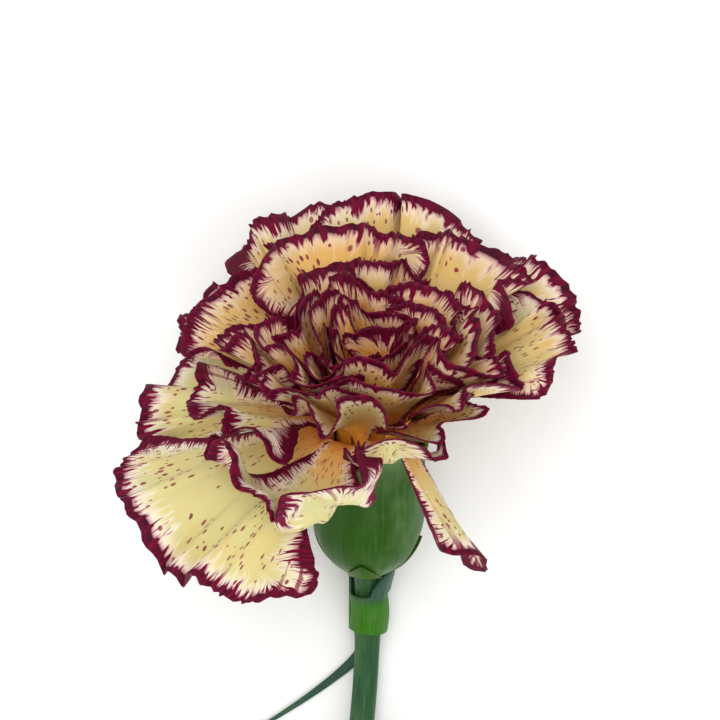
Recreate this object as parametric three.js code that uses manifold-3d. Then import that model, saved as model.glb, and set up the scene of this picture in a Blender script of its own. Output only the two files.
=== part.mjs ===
// A cut carnation lying on a flat surface: a double bloom in its green calyx, on a jointed stem with
// paired leaves. Millimetres, +Z up. The surface is z = 0, the stem runs towards -Y, and the bloom
// tips its face up at the +Y end. The origin is under the middle of the whole flower.
import * as THREE from "three";
import Module from "manifold-3d";
import { mergeVertices } from "three/addons/utils/BufferGeometryUtils.js";

// ---- Driving dimensions ----
const GAP = 0.3; // clearance between pieces that meet
const BLOOM_TILT = 38; // degrees that the bloom's axis rises above the surface

const CALYX_LENGTH = 30; // base to rim, along the bloom's axis
const CALYX_RADIUS = 9.8; // outside, over the full part of the tube
const CALYX_WALL = 0.9;
const CALYX_FLOOR = 3.5; // thickness of the closed bottom
const TOOTH_LENGTH = 3.5;
const TOOTH_FLARE = 1.6; // how far a tooth's tip leans outward
const TOOTH_FOOT = 24; // height at which the tube starts to open into teeth
const TOOTH_COUNT = 5;

const SCALE_COUNT = 4; // small scales pressed to the calyx's base
const SCALE_LENGTH = 7;
const SCALE_WIDTH = 6.5;
const SCALE_THICKNESS = 0.5;

const OVARY_RADIUS = 2.3;
const OVARY_LENGTH = 11;
const STYLE_RADIUS = 0.4;
const STYLE_LENGTH = 14;
const STYLE_SPREAD = 0.75; // distance of each style from the axis

const CLAW_LENGTH = 23; // narrow foot of a petal, inside the calyx
const CLAW_HALF_TURN = 5.8; // degrees that a claw reaches round the axis to each side
const CLAW_LAYERS = 27; // claws that would fit one behind the other from the styles to the tube
const PETAL_THICKNESS = 0.6;
const LIMB_BEND = 11; // length over which a limb leans out above the throat
const WIDEST_SPREAD = 112; // degrees from the axis of a petal whose claw lies against the tube
const CORE_SPREAD = 4; // degrees from the axis inside which there are no petals
const SHOULDER_DROP = 0.16; // share by which a limb is shorter at its sides

const STEM_RADIUS = 2.25;
const NECK_RADIUS = 2.6; // stem radius where it joins the calyx
const STEM_LENGTH = 150; // calyx base to cut end
const NECK_BEND_RADIUS = 22; // tightest bend of the stem below the calyx
const STEM_LEAN = 9; // degrees that the stem heads off to the side below the first joint
const CUT_SLANT = 0.8; // the cut end's slope
const JOINT_SWELL = 0.35; // how far the stem swells at each joint
const COLLAR_THICKNESS = 0.7; // sheath of a leaf pair round its joint
const LEAF_THICKNESS = 0.6;

// ---- Worked-out dimensions ----
const rad = THREE.MathUtils.degToRad;
const collarRadius = STEM_RADIUS + JOINT_SWELL + GAP + COLLAR_THICKNESS;
const lyingHeight = collarRadius + 0.1; // stem centre above the surface, resting on its joints
const throatRoom = CALYX_RADIUS - CALYX_WALL - GAP - (STYLE_SPREAD + STYLE_RADIUS + GAP);
const clawThickness = throatRoom / CLAW_LAYERS;
const footHeight = CALYX_LENGTH - CLAW_LENGTH;
const ovaryFoot = CALYX_FLOOR + GAP;
const ovaryTop = ovaryFoot + OVARY_LENGTH;

// ---- Materials ----
const petalMaterial = new THREE.MeshStandardMaterial({ color: 0xe9dc94, roughness: 0.6 });
const calyxMaterial = new THREE.MeshStandardMaterial({ color: 0x4f7a32, roughness: 0.5 });
const stemMaterial = new THREE.MeshStandardMaterial({ color: 0x47704a, roughness: 0.55 });
const leafMaterial = new THREE.MeshStandardMaterial({ color: 0x3f6b55, roughness: 0.6 });
const pistilMaterial = new THREE.MeshStandardMaterial({ color: 0xc9d08a, roughness: 0.6 });

// ---- Helpers ----
const smooth = (x) => THREE.MathUtils.smoothstep(x, 0, 1);
const mix = THREE.MathUtils.lerp;

// Moves every vertex of a geometry to where place(x, y, z) says.
function reshape(geometry, place) {
  const at = geometry.getAttribute("position");
  for (let i = 0; i < at.count; i++) {
    const p = place(at.getX(i), at.getY(i), at.getZ(i));
    at.setXYZ(i, p.x, p.y, p.z);
  }
  geometry.deleteAttribute("normal");
  geometry.deleteAttribute("uv");
  return geometry;
}

function piece(name, geometry, material) {
  const mesh = new THREE.Mesh(geometry, material);
  mesh.name = name;
  return mesh;
}

// A thin plate bent to a mid-surface: surface(across -1..1, along 0..1) gives a point, and
// thickness(along) how thick the plate is there.
function bentPlate(surface, thickness, acrossSteps, alongSteps) {
  const box = new THREE.BoxGeometry(2, 1, 1, acrossSteps, alongSteps, 1);
  const step = 0.01;
  return reshape(box, (across, y, side) => {
    const along = y + 0.5;
    const low = surface(across, Math.max(along - step, 0));
    const high = surface(across, Math.min(along + step, 1));
    const left = surface(across - step, along);
    const right = surface(across + step, along);
    const normal = right.sub(left).cross(high.sub(low)).normalize();
    return surface(across, along).addScaledVector(normal, side * thickness(along));
  });
}

// ---- Calyx and its scales, in the bloom's frame: base at the origin, axis +Z ----
// Outside radius of the calyx at a height above its base.
function calyxOutside(height) {
  const rounding = 12; // height over which the base rounds out to the full tube
  const t = Math.min(height / rounding, 1);
  return mix(NECK_RADIUS + 0.3, CALYX_RADIUS, (1 - (1 - t) ** 2) ** 0.75);
}

function calyx() {
  const halfway = (TOOTH_FOOT + CALYX_LENGTH) / 2;
  const outsideHeights = [0, 0.4, 1.5, 3.5, 6, 9, 12, 18, TOOTH_FOOT, halfway, CALYX_LENGTH];
  const insideHeights = [CALYX_LENGTH, halfway, TOOTH_FOOT, 16, 12, 9, 6.5, 4.5, CALYX_FLOOR];
  const outside = outsideHeights.map((h) => new THREE.Vector2(calyxOutside(h), h));
  const inside = insideHeights.map((h) => new THREE.Vector2(calyxOutside(h) - CALYX_WALL, h));
  const bottom = new THREE.Vector2(0, 0);
  const floor = new THREE.Vector2(0, CALYX_FLOOR);
  const tube = new THREE.LatheGeometry([bottom, ...outside, ...inside, floor], 40);
  return reshape(tube, (x, y, z) => {
    const turn = Math.atan2(z, x);
    const rise = Math.max(0, (y - TOOTH_FOOT) / (CALYX_LENGTH - TOOTH_FOOT));
    const point = Math.abs(Math.cos((turn * TOOTH_COUNT) / 2)) ** 2;
    const radius = Math.hypot(x, z) + rise * rise * TOOTH_FLARE;
    const height = y + rise * TOOTH_LENGTH * point;
    return new THREE.Vector3(radius * Math.cos(turn), -radius * Math.sin(turn), height);
  });
}

function calyxScale(turn) {
  const foot = 0.6;
  return bentPlate(
    (across, along) => {
      const height = foot + along * SCALE_LENGTH;
      const radius = calyxOutside(height) + GAP + SCALE_THICKNESS / 2;
      const half = ((SCALE_WIDTH / 2) * (1 - along ** 1.6) + 0.2) / (calyxOutside(SCALE_LENGTH / 2));
      const angle = turn + across * half;
      return new THREE.Vector3(radius * Math.cos(angle), radius * Math.sin(angle), height);
    },
    () => SCALE_THICKNESS,
    4,
    5,
  );
}

// ---- Pistil: an ovary on the calyx's floor with two styles, joined into one solid ----
async function pistil() {
  const wasm = await Module();
  wasm.setup();
  const solid = (geometry) => {
    geometry.deleteAttribute("normal");
    geometry.deleteAttribute("uv");
    const merged = mergeVertices(geometry, 1e-4);
    return new wasm.Manifold(
      new wasm.Mesh({
        numProp: 3,
        vertProperties: merged.getAttribute("position").array,
        triVerts: new Uint32Array(merged.index.array),
      }),
    );
  };
  const profile = [];
  const rings = 8;
  for (let i = 0; i <= rings; i++) {
    const t = i / rings;
    const radius = OVARY_RADIUS * Math.sqrt(Math.sin(Math.PI * t) * (1.15 - 0.5 * t));
    profile.push(new THREE.Vector2(i === 0 || i === rings ? 0 : radius, t * OVARY_LENGTH));
  }
  let joined = solid(new THREE.LatheGeometry(profile, 14).rotateX(Math.PI / 2));
  for (const side of [-1, 1]) {
    const style = new THREE.CylinderGeometry(STYLE_RADIUS, STYLE_RADIUS, STYLE_LENGTH, 8, 3);
    const rooted = OVARY_LENGTH - 2.5;
    style.rotateX(Math.PI / 2);
    style.translate(side * STYLE_SPREAD, 0, rooted + STYLE_LENGTH / 2);
    joined = joined.add(solid(style));
  }
  const mesh = joined.getMesh();
  return new THREE.BufferGeometry()
    .setAttribute("position", new THREE.BufferAttribute(new Float32Array(mesh.vertProperties), 3))
    .setIndex(new THREE.BufferAttribute(new Uint32Array(mesh.triVerts), 1))
    .translate(0, 0, ovaryFoot);
}

// ---- Petals ----
// How far out a claw stands between the innermost and the outermost, from the petal's spread.
const packing = (spread) => ((spread - CORE_SPREAD) / (WIDEST_SPREAD - CORE_SPREAD)) ** 0.4;

// Distance from the axis of the innermost claw at a height: round the ovary, then nearer the axis.
function innermostClaw(height) {
  const besideStyles = STYLE_SPREAD + STYLE_RADIUS + GAP + clawThickness;
  const besideOvary = OVARY_RADIUS + GAP + clawThickness;
  return mix(besideOvary, besideStyles, smooth((height - ovaryTop) / 8));
}

// A point on the bloom. Spread and around are degrees; distance runs from the claw's foot.
// Lines of two different spreads never cross, so petals on them stay clear of each other.
function bloomPoint(spread, around, distance) {
  const claw = Math.min(distance, CLAW_LENGTH);
  const limb = distance - claw;
  let height = footHeight + claw;
  const outer = calyxOutside(height) - CALYX_WALL - GAP - clawThickness / 2;
  let radius = mix(innermostClaw(height), outer, packing(spread));
  const steps = Math.max(1, Math.ceil(limb));
  for (let i = 0; i < steps; i++) {
    const lean = rad(spread) * smooth(((i + 0.5) * limb) / steps / LIMB_BEND);
    height += (Math.cos(lean) * limb) / steps;
    radius += (Math.sin(lean) * limb) / steps;
  }
  return new THREE.Vector3(radius * Math.cos(rad(around)), radius * Math.sin(rad(around)), height);
}

// around: degrees round the axis from +X; spread: degrees from the axis; limb and width: millimetres.
const PLACED_PETALS = [
  { name: "guard_petal_hanging", around: 297, spread: 113, limb: 31, width: 11 },
  { name: "guard_petal_lower_left", around: 219, spread: 107, limb: 40.5, width: 45 },
  { name: "guard_petal_left", around: 167, spread: 101, limb: 37, width: 36 },
  { name: "guard_petal_back_left", around: 124, spread: 91, limb: 40, width: 36 },
  { name: "guard_petal_back_right", around: 68, spread: 87, limb: 41, width: 34 },
  { name: "guard_petal_right", around: 40, spread: 69, limb: 40, width: 34 },
  { name: "outer_petal_bottom", around: 246, spread: 95, limb: 36, width: 28 },
  { name: "outer_petal_small", around: 277, spread: 74, limb: 31, width: 18 },
  { name: "outer_petal_right", around: 10, spread: 64, limb: 36, width: 34 },
  { name: "outer_petal_cup", around: 300, spread: 66, limb: 28, width: 20 },
  { name: "outer_petal_top_left", around: 112, spread: 64, limb: 41, width: 34 },
  { name: "outer_petal_left", around: 206, spread: 70, limb: 29, width: 30 },
  { name: "outer_petal_top_right", around: 78, spread: 58, limb: 41, width: 32 },
  { name: "outer_petal_low_middle", around: 260, spread: 57, limb: 30, width: 22 },
  { name: "outer_petal_low_right", around: 324, spread: 53, limb: 28, width: 24 },
  { name: "middle_petal_far_left", around: 158, spread: 54, limb: 34, width: 28 },
  { name: "middle_petal_top_right", around: 44, spread: 52, limb: 36, width: 29 },
  { name: "middle_petal_front_left", around: 236, spread: 50, limb: 30, width: 26 },
  { name: "middle_petal_right", around: 6, spread: 48, limb: 29, width: 27 },
  { name: "middle_petal_left", around: 194, spread: 45.5, limb: 30, width: 26 },
  { name: "middle_petal_front_right", around: 286, spread: 46, limb: 29, width: 26 },
  { name: "middle_petal_top", around: 110, spread: 42, limb: 35, width: 30 },
  { name: "middle_petal_low_right", around: 325, spread: 42, limb: 30, width: 24 },
];
const HEART_PETALS = 20; // petals crowded round the axis, each a golden angle on from the last
const GOLDEN_ANGLE = 137.5;
const HEART_SPREAD = [37, 5]; // degrees, first to last
const HEART_LIMB = [29, 22];
const HEART_WIDTH = [24, 12];
const MOST_WRAP = 60; // degrees that a petal may reach round the axis to each side

function heartPetals() {
  return Array.from({ length: HEART_PETALS }, (_, i) => {
    const t = i / (HEART_PETALS - 1);
    return {
      name: `heart_petal_${String(i + 1).padStart(2, "0")}`,
      around: (80 + i * GOLDEN_ANGLE) % 360,
      spread: mix(HEART_SPREAD[0], HEART_SPREAD[1], t),
      limb: mix(HEART_LIMB[0], HEART_LIMB[1], t),
      width: mix(HEART_WIDTH[0], HEART_WIDTH[1], t),
    };
  });
}

function petal({ around, spread, limb, width }, acrossSteps, alongSteps) {
  const total = CLAW_LENGTH + limb;
  const nearRim = bloomPoint(spread, 0, total - 0.2 * limb);
  const rimHalf = Math.min(THREE.MathUtils.radToDeg(width / 2 / nearRim.x), MOST_WRAP);
  const opening = (along) => Math.max(0, along * total - CLAW_LENGTH) / limb;
  return bentPlate(
    (across, along) => {
      const open = opening(along);
      const shoulder = 1 - SHOULDER_DROP * Math.abs(across) ** 3 * open;
      const distance = Math.min(along * total, CLAW_LENGTH) + limb * open * shoulder;
      const half = mix(CLAW_HALF_TURN, rimHalf, Math.sin((open * Math.PI) / 2) ** 1.3);
      return bloomPoint(spread, around + across * half, distance);
    },
    (along) => mix(clawThickness, PETAL_THICKNESS, smooth(opening(along)) ** 1.5),
    acrossSteps,
    alongSteps,
  );
}

// ---- Stem ----
// Follows the stem's centre: an arc down from the calyx's base, then along the surface. Gives the
// centre and the side, up and forward directions at a distance from the calyx's base.
function stemPath(calyxHeight) {
  const tilt = rad(BLOOM_TILT);
  const arcRadius = (calyxHeight - lyingHeight) / (1 - Math.cos(tilt));
  const arcLength = arcRadius * tilt;
  const leanStart = 10;
  const leanBuild = 30; // length over which the lean builds up
  const centreAt = (s) => {
    const angle = THREE.MathUtils.clamp(tilt - s / arcRadius, 0, tilt);
    const before = Math.min(s, 0);
    const straight = Math.max(0, s - arcLength);
    const leaning = Math.max(0, s - leanStart);
    const built = Math.min(leaning, leanBuild);
    const x = -Math.tan(rad(STEM_LEAN)) * (leaning - built + (built * built) / 2 / leanBuild);
    const y = -arcRadius * (Math.sin(tilt) - Math.sin(angle)) - straight - before * Math.cos(tilt);
    const z = lyingHeight + arcRadius * (1 - Math.cos(angle)) - before * Math.sin(tilt);
    return new THREE.Vector3(x, y, z);
  };
  return (distance) => {
    const forward = centreAt(distance + 0.1).sub(centreAt(distance - 0.1)).normalize();
    const side = new THREE.Vector3(0, 0, 1).cross(forward).normalize();
    return { centre: centreAt(distance), side, up: forward.clone().cross(side), forward };
  };
}

const JOINTS = [11.5, 60, 114]; // distance of each joint below the calyx's base

function stemRadius(distance) {
  const neck = mix(NECK_RADIUS, STEM_RADIUS, smooth(distance / 8));
  const swell = JOINTS.reduce((sum, joint) => sum + Math.exp(-(((distance - joint) / 3) ** 2)), 0);
  return neck + JOINT_SWELL * swell;
}

function stem(path) {
  const rod = new THREE.CylinderGeometry(1, 1, 1, 12, 60);
  return reshape(rod, (x, y, z) => {
    const along = 0.5 - y;
    const slant = CUT_SLANT * x * STEM_RADIUS * smooth((along - 0.95) / 0.05);
    const distance = mix(GAP, STEM_LENGTH - CUT_SLANT * STEM_RADIUS, along) + slant;
    const { centre, side, up } = path(distance);
    const radius = stemRadius(distance);
    return centre.addScaledVector(side, radius * x).addScaledVector(up, radius * z);
  });
}

// ---- Leaves ----
// joint: which joint it grows from; around: degrees round the stem, 0 on its side, 90 on top;
// length and width: of the blade; lean: degrees that the tip has bent away from the stem; arch: the
// shares of the blade between which it bends; drift: how far the tip lies off to the side, and the
// share of the blade that goes straight first.
const LEAVES = [
  { name: "bract_front", joint: 0, around: 48, length: 7, width: 4.4, lean: 40, arch: [-0.3, 0.6], drift: [-1.2, 0.1] },
  { name: "leaf_top_back", joint: 0, around: 252, length: 44, width: 4, lean: 178, arch: [0, 0.17], drift: [-30, 0.42] },
  { name: "leaf_middle_right", joint: 1, around: 12, length: 46, width: 5, lean: 115, arch: [0.1, 1], drift: [5, 0.3] },
  { name: "leaf_middle_left", joint: 1, around: 165, length: 40, width: 5, lean: 108, arch: [0.1, 1], drift: [-3, 0.3] },
  { name: "leaf_lower_top", joint: 2, around: 102, length: 54, width: 5.4, lean: 64, arch: [0.2, 1], drift: [-16, 0.2] },
  { name: "leaf_lower_back", joint: 2, around: 282, length: 54, width: 5.4, lean: 20, arch: [0, 0.3], drift: [-15, 0.1] },
];
const SHEATH_LENGTH = 7;
const SHEATH_WRAP = 76; // degrees that a sheath reaches round the joint to each side
const CHANNEL = 24; // degrees of the blade's cupped cross-section to each side

// Height of a leaf's middle layer, eased so that it comes to rest on the surface.
function rested(height, ease) {
  const lowest = lyingHeight - collarRadius + COLLAR_THICKNESS / 2;
  const t = (height - lowest) / ease;
  return t > 1 ? height : lowest + (ease * Math.max(0, (t + 1) / 2)) ** 2 / ease;
}

function leaf(path, { joint, around, length, width, lean, arch, drift }) {
  const foot = JOINTS[joint] + 2;
  const total = SHEATH_LENGTH + length;
  const sheathRadius = stemRadius(JOINTS[joint]) + GAP + COLLAR_THICKNESS / 2;
  const root = path(foot - SHEATH_LENGTH);
  const bend = (t) => rad(lean) * smooth((t - arch[0]) / (arch[1] - arch[0]));
  return bentPlate(
    (across, along) => {
      const t = Math.max(0, along * total - SHEATH_LENGTH) / length;
      const open = smooth(t / 0.3);
      const halfWidth = mix(sheathRadius * rad(SHEATH_WRAP), width / 2, open) * (1 - 0.93 * t ** 2.2);
      const halfAngle = rad(mix(SHEATH_WRAP, CHANNEL, open));
      const bendRadius = halfWidth / halfAngle;
      const { centre, side, up, forward } = t > 0 ? root : path(foot - along * total);
      const out = side.clone().multiplyScalar(Math.cos(rad(around)));
      out.addScaledVector(up, Math.sin(rad(around)));
      const flat = forward.clone().cross(out);
      const point = centre.clone().addScaledVector(out, sheathRadius);
      const steps = 24;
      for (let i = 0; i < steps; i++) {
        const turn = bend(((i + 0.5) * t) / steps);
        point.addScaledVector(forward, (-Math.cos(turn) * length * t) / steps);
        point.addScaledVector(out, (Math.sin(turn) * length * t) / steps);
      }
      const angle = across * halfAngle;
      const cupped = bendRadius * (Math.cos(angle) - 1);
      const drifted = Math.max(0, (t - drift[1]) / (1 - drift[1])) ** 1.3;
      point.addScaledVector(out, cupped * Math.cos(bend(t)));
      point.addScaledVector(forward, cupped * Math.sin(bend(t)));
      point.addScaledVector(flat, bendRadius * Math.sin(angle) + drift[0] * drifted);
      if (t > 0) point.z = rested(point.z, 0.1 + 2 * open);
      return point;
    },
    (along) => mix(COLLAR_THICKNESS, LEAF_THICKNESS, smooth(along * 3)),
    4,
    20,
  );
}

// ---- Assembly ----
const bloom = new THREE.Group();
bloom.rotation.x = -rad(90 - BLOOM_TILT);
bloom.add(piece("calyx", calyx(), calyxMaterial));
for (let i = 0; i < SCALE_COUNT; i++) {
  const turn = ((i - 0.08) / SCALE_COUNT) * 2 * Math.PI;
  bloom.add(piece(`calyx_scale_${i + 1}`, calyxScale(turn), calyxMaterial));
}
bloom.add(piece("pistil", await pistil(), pistilMaterial));
for (const design of PLACED_PETALS) bloom.add(piece(design.name, petal(design, 8, 9), petalMaterial));
for (const design of heartPetals()) bloom.add(piece(design.name, petal(design, 6, 8), petalMaterial));

// The bloom stands as high as its lowest petals need to rest on the surface, or as the neck's bend.
bloom.updateMatrixWorld(true);
const petalReach = -new THREE.Box3().setFromObject(bloom, true).min.z;
const neckRise = NECK_BEND_RADIUS * (1 - Math.cos(rad(BLOOM_TILT)));
const calyxHeight = Math.max(petalReach, lyingHeight + neckRise);
bloom.position.z = calyxHeight;

const flower = new THREE.Group();
const path = stemPath(calyxHeight);
flower.add(bloom, piece("stem", stem(path), stemMaterial));
for (const design of LEAVES) flower.add(piece(design.name, leaf(path, design), leafMaterial));

flower.updateMatrixWorld(true);
const bounds = new THREE.Box3().setFromObject(flower, true);
const middle = bounds.getCenter(new THREE.Vector3());
flower.position.set(-middle.x, -middle.y, -bounds.min.z);

const carnation = new THREE.Group();
carnation.add(flower);
export default carnation;
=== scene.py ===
"""A cut carnation lying on a pale surface, modelled petal by petal over its CAD frame."""
import math

import bpy
import numpy as np
from bpy.props import FloatProperty, FloatVectorProperty, IntProperty, PointerProperty
from mathutils import Matrix, Vector


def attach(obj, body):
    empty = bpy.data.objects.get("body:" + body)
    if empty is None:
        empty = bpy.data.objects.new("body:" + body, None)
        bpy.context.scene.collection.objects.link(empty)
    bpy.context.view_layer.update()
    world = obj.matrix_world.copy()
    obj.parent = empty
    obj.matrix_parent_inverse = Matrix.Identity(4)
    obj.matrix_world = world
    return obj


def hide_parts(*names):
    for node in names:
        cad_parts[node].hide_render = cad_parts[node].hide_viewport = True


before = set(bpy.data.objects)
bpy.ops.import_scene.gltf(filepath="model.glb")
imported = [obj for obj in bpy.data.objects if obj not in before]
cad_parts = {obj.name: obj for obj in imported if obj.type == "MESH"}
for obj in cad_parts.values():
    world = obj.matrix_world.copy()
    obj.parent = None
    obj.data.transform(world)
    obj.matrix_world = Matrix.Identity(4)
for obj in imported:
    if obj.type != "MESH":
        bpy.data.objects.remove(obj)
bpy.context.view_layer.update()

bl_info = {
    "name": "Cut Carnation",
    "version": (1, 0, 0),
    "blender": (4, 5, 0),
    "location": "View3D > Sidebar > Carnation",
    "description": "Models a double carnation with edged petals, its calyx, stem and leaves",
    "category": "Add Mesh",
}

MM = 0.001


def shade(code):
    """A linear colour from a hex code."""
    values = [int(code[i : i + 2], 16) / 255 for i in (1, 3, 5)]
    return [v / 12.92 if v <= 0.04045 else ((v + 0.055) / 1.055) ** 2.4 for v in values]


def length(name, description, value):
    """A size property in metres."""
    return FloatProperty(name=name, description=description, default=value, min=0, unit="LENGTH")


def colour(name, description, code):
    """A colour property from a hex code."""
    return FloatVectorProperty(
        name=name, description=description, default=shade(code), subtype="COLOR", size=3, min=0, max=1
    )


# ---- Sizes and colours ----


class BloomSizes(bpy.types.PropertyGroup):
    tilt: FloatProperty(
        name="Tilt",
        description="How far the bloom's axis rises above the surface",
        default=math.radians(38),
        subtype="ANGLE",
    )
    calyx_length: length("Calyx Length", "From the calyx's base to its rim", 30 * MM)
    calyx_radius: length("Calyx Radius", "Outside radius of the full part of the tube", 9.8 * MM)
    calyx_wall: length("Calyx Wall", "Thickness of the calyx's wall", 0.9 * MM)
    tooth_length: length("Tooth Length", "Height of each tooth above the calyx's rim", 3.5 * MM)
    claw_length: length("Claw Length", "Narrow foot of a petal inside the calyx", 23 * MM)
    limb_bend: length("Limb Bend", "Length over which a petal leans out above the throat", 11 * MM)
    petal_thickness: length("Petal Thickness", "Thickness of a petal's blade", 0.22 * MM)
    ruffle: FloatProperty(
        name="Ruffle", description="How strongly the petals ripple", default=1.0, min=0, max=2
    )
    tooth_depth: length("Fringe Depth", "Depth of the notches along a petal's rim", 1.0 * MM)
    seed: IntProperty(name="Seed", description="Chooses the pattern of the ripples", default=11)


class PetalColours(bpy.types.PropertyGroup):
    edge: colour("Edge", "Burgundy of the petals' margins", "#780430")
    dark_edge: colour("Dark Edge", "Burgundy where the margin is deepest", "#44041E")
    halo: colour("Halo", "Pale band inside the margin", "#F3E6DC")
    pale: colour("Pale", "Outer petals", "#D2CE94")
    # Amber of the inner petals: partly their own tone, partly a painted glow standing in for light
    # scattered through the petals in the throats and hollows.
    warm: colour("Warm", "Inner petals and throats", "#E8A03C")
    # Painted shade: a darker amber on the petals' feet, low in the bloom, standing in for the shade in its
    # hollows.
    deep: colour("Deep", "The petals' feet, deep in the bloom", "#C4741A")
    fleck: colour("Fleck", "Short dashes scattered along the petal", "#860840")
    flush: colour("Flush", "Pink where the margin fades into the petal", "#A03868")
    edge_width: length("Edge Width", "Usual width of the dark margin", 1.5 * MM)


class GreenColours(bpy.types.PropertyGroup):
    calyx: colour("Calyx", "Green of the calyx", "#265000")
    calyx_base: colour("Calyx Base", "Yellow-green at the calyx's base", "#7E9A4C")
    bloom_wax: colour("Wax", "Grey-green waxy bloom on the green parts", "#688656")
    stem: colour("Stem", "Green of the stem", "#2A5234")
    joint: colour("Joint", "Yellow-green of the joints", "#347000")
    leaf: colour("Leaf", "Blue-green of the leaves", "#294C40")


class StemSizes(bpy.types.PropertyGroup):
    radius: length("Stem Radius", "Radius between the joints", 2.25 * MM)
    neck_radius: length("Neck Radius", "Radius where the stem meets the calyx", 2.6 * MM)
    joint_swell: length("Joint Swell", "How far the stem swells at a joint", 0.35 * MM)
    stem_length: length("Stem Length", "From the calyx's base to the cut end", 150 * MM)
    cut_slant: FloatProperty(name="Cut Slant", description="Slope of the cut end", default=0.8)


# ---- The petals' places ----

# Around and spread in degrees, limb and width in millimetres. Then how the petal departs from a
# plain fan, in degrees: twist (one side outward), bow (both sides outward), curl (rim inward), and
# the strength of its ripples.
PETALS = {
    "guard_petal_hanging": (299, 112, 34, 8, 6, 12, 0, 0.3),
    "guard_petal_lower_left": (221, 107, 43, 46, 4, -4, 0, 0.3),
    "guard_petal_left": (169, 105, 37, 39, 0, 2, 0, 0.5),
    "guard_petal_back_left": (124, 91, 40, 36, 0, 0, 0, 0.6),
    "guard_petal_back_right": (68, 87, 41, 34, 0, 0, 0, 0.6),
    "guard_petal_right": (40, 70, 40, 34, 0, 0, 0, 0.5),
    "outer_petal_bottom": (247, 101, 36, 30, -7, -7, 24, 0.5),
    "outer_petal_small": (277, 76, 31, 18, 0, 0, 10, 0.7),
    "outer_petal_right": (4, 63, 37, 36, 0, 0, 0, 0.4),
    "outer_petal_cup": (300, 66, 28, 20, 0, -6, 4, 0.8),
    "outer_petal_top_left": (112, 64, 41, 34, 0, 0, 0, 0.8),
    "outer_petal_left": (206, 74, 31, 34, 0, 3, 0, 0.6),
    "outer_petal_top_right": (78, 58, 41, 32, 0, 0, 0, 0.8),
    "outer_petal_low_middle": (260, 57, 30, 22, 0, -3, 0, 0.9),
    "outer_petal_low_right": (326, 55, 30, 28, 0, 0, 0, 0.7),
    "middle_petal_far_left": (158, 54, 34, 28, 0, 0, 0, 0.9),
    "middle_petal_top_right": (44, 52, 36, 29, 0, 0, 0, 0.8),
    "middle_petal_front_left": (236, 50, 30, 26, 0, 0, 0, 0.9),
    "middle_petal_right": (6, 48, 29, 27, 0, 0, 0, 0.9),
    "middle_petal_left": (194, 45.5, 30, 26, 0, 0, 0, 0.9),
    "middle_petal_front_right": (286, 46, 29, 26, 0, 0, 0, 0.9),
    "middle_petal_top": (110, 42, 35, 30, 0, 0, 0, 0.9),
    "middle_petal_low_right": (325, 42, 30, 24, 0, 0, 0, 0.9),
}
HEART_PETALS = 20
HEART_START = 80  # direction of the heart's outermost petal
GOLDEN_ANGLE = 137.5
CORE_SPREAD = 4  # inside this spread there are no petals
WIDEST_SPREAD = 112  # a petal with this spread has its claw against the calyx
FRONT_LIFT = 12  # degrees by which the petals in front stand up
LIFT_FULL = 50  # degrees of forward lean at which they stand up most
LIFT_FADE = 40  # degrees further over which they no longer do


def heart_petals():
    """The crowded middle, each petal a golden angle on from the last."""
    rows = {}
    for i in range(HEART_PETALS):
        t = i / (HEART_PETALS - 1)
        around = (HEART_START + i * GOLDEN_ANGLE) % 360
        spread, limb, width = 37 - 32 * t, 29 - 7 * t, 24 - 12 * t
        rows[f"heart_petal_{i + 1:02d}"] = (around, spread, limb, width, 0, 0, 0, 1.0)
    return rows


# ---- Numbers ----


def smooth(x):
    """Eases from 0 to 1 and stays there."""
    x = np.clip(x, 0, 1)
    return x * x * (3 - 2 * x)


def mix(a, b, t):
    """The value a share t of the way from a to b."""
    return a + (b - a) * t


def noise_line(random, x, spacing):
    """Smooth random values from -1 to 1 along a line."""
    count = int((x.max() - x.min()) / spacing) + 4
    knots = random.uniform(-1, 1, count)
    place = (x - x.min()) / spacing
    low = place.astype(int)
    return mix(knots[low], knots[low + 1], smooth(place - low))


def name_number(name):
    """A number of a piece's own, so that no two petals share a fringe or a pattern."""
    return sum(map(ord, name))


# ---- Where the bloom stands, from the CAD calyx ----


CALYX_BOTTOM = 12 * MM  # height over which the calyx rounds out to its full radius


def bloom_place(tilt):
    """A matrix from the bloom's own frame (base at the origin, axis up) to the scene."""
    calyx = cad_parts["calyx"]
    points = np.array([v.co for v in calyx.data.vertices])
    axis = np.array([0, math.cos(tilt), math.sin(tilt)])
    along = points @ axis
    base = points[along < along.min() + 0.05 * MM].mean(axis=0)
    return Matrix.Translation(Vector(base)) @ Matrix.Rotation(tilt - math.pi / 2, 4, "X")


def calyx_outside(sizes, stem, height):
    """Outside radius of the calyx: a round bottom, then a straight tube."""
    t = np.clip(height / CALYX_BOTTOM, 0, 1)
    return mix(stem.neck_radius + 0.3 * MM, sizes.calyx_radius, (1 - (1 - t) ** 2) ** 0.75)


# ---- Mesh helpers ----

SEAM_GAP = 0.004 * MM


def vertex_array(mesh):
    """The mesh's points as rows of x, y, z."""
    flat = np.empty(len(mesh.vertices) * 3)
    mesh.vertices.foreach_get("co", flat)
    return flat.reshape(-1, 3)


def new_grid(name, columns, rows):
    """A flat grid, and its across (-1..1) and along (0..1) coordinates."""
    bpy.ops.object.select_all(action="DESELECT")
    bpy.ops.mesh.primitive_grid_add(x_subdivisions=columns, y_subdivisions=rows, size=2)
    piece = bpy.context.object
    piece.name = name
    points = vertex_array(piece.data)
    return piece, points[:, 0].copy(), (points[:, 1] + 1) / 2


def moved(points, matrix):
    """Points carried by a matrix."""
    return points @ np.array(matrix.to_3x3()).T + np.array(matrix.translation)


def roll_tube(name, columns, rows, shape):
    """A grid rolled round into a tube: shape(turn, along) gives a point in mm for each vertex."""
    piece, u, t = new_grid(name, columns, rows)
    turn = u * math.pi
    place_points(piece, shape(turn, t) * MM)
    return piece, turn, t


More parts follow.
